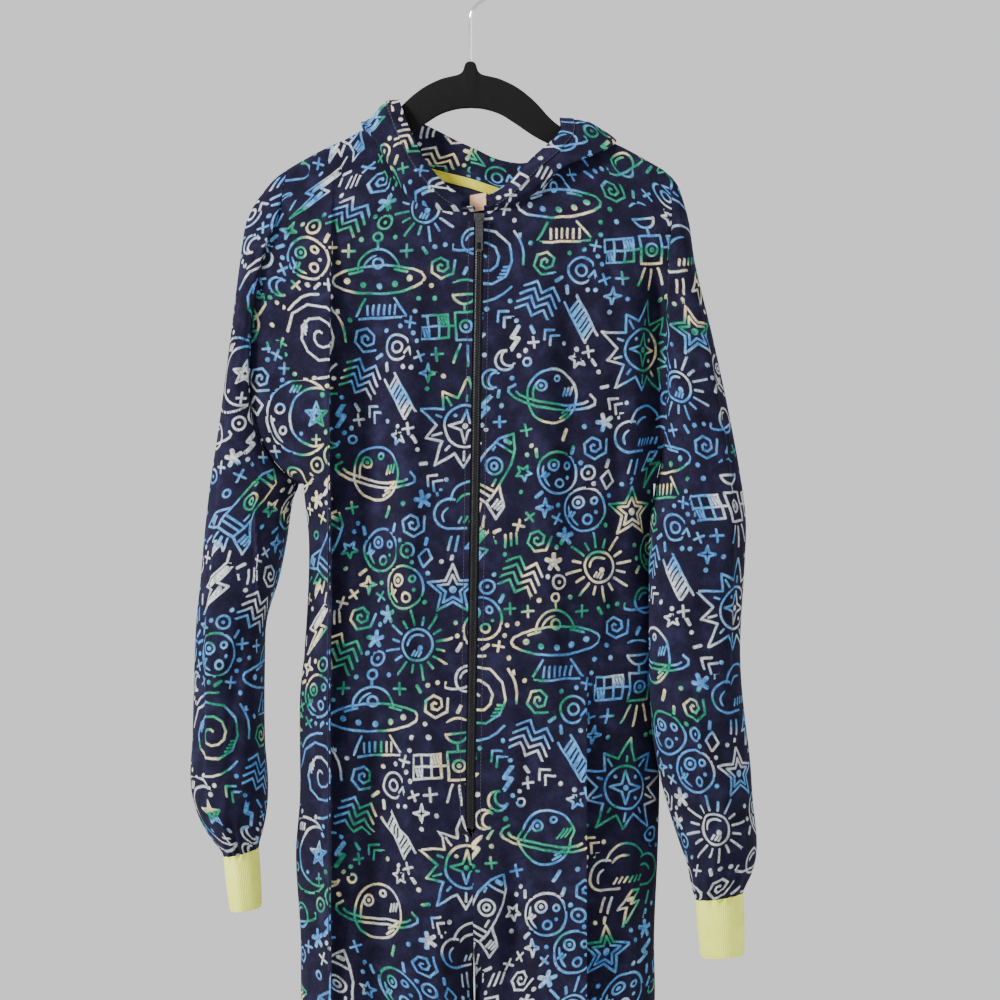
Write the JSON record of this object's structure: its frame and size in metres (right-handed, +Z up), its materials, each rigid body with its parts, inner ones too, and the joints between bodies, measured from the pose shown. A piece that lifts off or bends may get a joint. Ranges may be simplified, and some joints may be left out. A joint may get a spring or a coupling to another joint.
{
  "type": "hooded onesie pajama on a hanger",
  "caption": "Child's hooded fleece onesie pajama with a doodle print, full front zip and lime rib cuffs, hood laid back, hanging on a flocked hanger with a wire hook.",
  "frame": {"origin": "Inside top of the hanger's hook, where a rail carries the whole part.", "axes": "+Z up along the garment's length, -Y out of the garment's front, +X to the viewer's right (the wearer's left side)."},
  "size_m": [0.485, 0.1187, 1.5472],
  "materials": {
    "fleece_navy": "brushed fleece with a multicolour doodle print",
    "rib_lime": "rib knit",
    "tape_yellow": "twill tape",
    "label_peach": "woven label, blank",
    "zip_black": "coil zip",
    "metal_dark": "dark gunmetal",
    "flock_black": "flocked velvet",
    "chrome": "polished wire"
  },
  "bodies": {
    "garment": {"front_right": "fleece_navy", "front_left": "fleece_navy", "back_right": "fleece_navy", "back_left": "fleece_navy", "sleeve_right": "fleece_navy", "sleeve_left": "fleece_navy", "hood_right": "fleece_navy", "hood_left": "fleece_navy", "cuff_wrist_right": "rib_lime", "cuff_wrist_left": "rib_lime", "cuff_ankle_right": "rib_lime", "cuff_ankle_left": "rib_lime", "neck_tape": "tape_yellow", "label": "label_peach", "zip_chain": "zip_black", "zip_slider": "metal_dark", "hanger_body": "flock_black", "hanger_hook": "chrome"},
    "tab": {"zip_tab": "metal_dark"}
  },
  "joints": [
    {"name": "zip_tab_swing", "type": "hinge", "parent": "garment", "child": "tab", "pos_m": [0.00759, -0.01809, -0.2246], "axis": [-1, 0, 0], "range_deg": [0, 150]}
  ]
}
